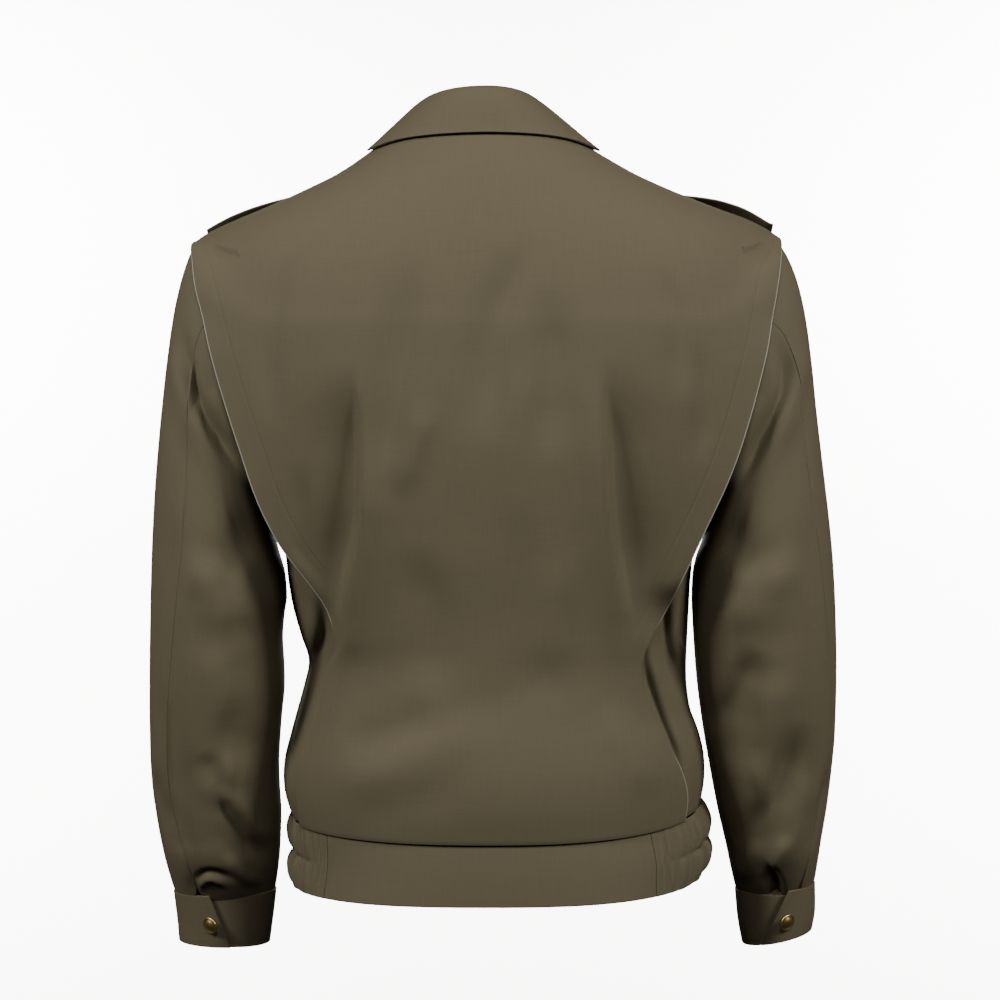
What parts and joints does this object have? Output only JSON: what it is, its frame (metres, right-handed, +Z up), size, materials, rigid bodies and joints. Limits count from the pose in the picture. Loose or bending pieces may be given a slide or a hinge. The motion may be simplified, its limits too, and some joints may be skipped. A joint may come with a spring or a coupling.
{
  "type": "waist-length field jacket",
  "caption": "Waist-length wool field jacket, filled out as worn: free pleated back wings, turned-down collar, shoulder straps, buttoned cuffs and an elastic-sided waistband.",
  "frame": {"origin": "middle of the neck opening, level with the shoulder seams at the neck, where a wearer's shoulders hold the jacket up", "axes": "+Z up, the garment's front faces -Y, +X is the wearer's left"},
  "size_m": [0.5649, 0.2549, 0.6999],
  "materials": {
    "wool_serge": "fine worsted serge, olive brown, matt with a soft sheen",
    "button_brass": "polished, plain domed face",
    "zip_tape": "woven tape",
    "zip_metal": "dulled brass"
  },
  "bodies": {
    "jacket": {"back": "wool_serge", "collar": "wool_serge", "cuff_button_left": "button_brass", "cuff_button_right": "button_brass", "cuff_left": "wool_serge", "cuff_right": "wool_serge", "front_left": "wool_serge", "front_right": "wool_serge", "shoulder_strap_left": "wool_serge", "shoulder_strap_right": "wool_serge", "side_left": "wool_serge", "side_right": "wool_serge", "sleeve_top_left": "wool_serge", "sleeve_top_right": "wool_serge", "sleeve_under_left": "wool_serge", "sleeve_under_right": "wool_serge", "strap_button_left": "button_brass", "strap_button_right": "button_brass", "waistband_back": "wool_serge", "waistband_front_left": "wool_serge", "waistband_front_right": "wool_serge", "waistband_side_left": "wool_serge", "waistband_side_right": "wool_serge", "zip_chain": "zip_metal", "zip_slider": "zip_metal", "zip_tape_left": "zip_tape", "zip_tape_right": "zip_tape"},
    "zip_pull": {"zip_pull": "zip_metal"}
  },
  "joints": [
    {"name": "zip_pull_hinge", "type": "hinge", "parent": "jacket", "child": "zip_pull", "pos_m": [0, -0.06991, -0.08561], "axis": [-1, 0, 0], "range_deg": [0, 120]}
  ]
}
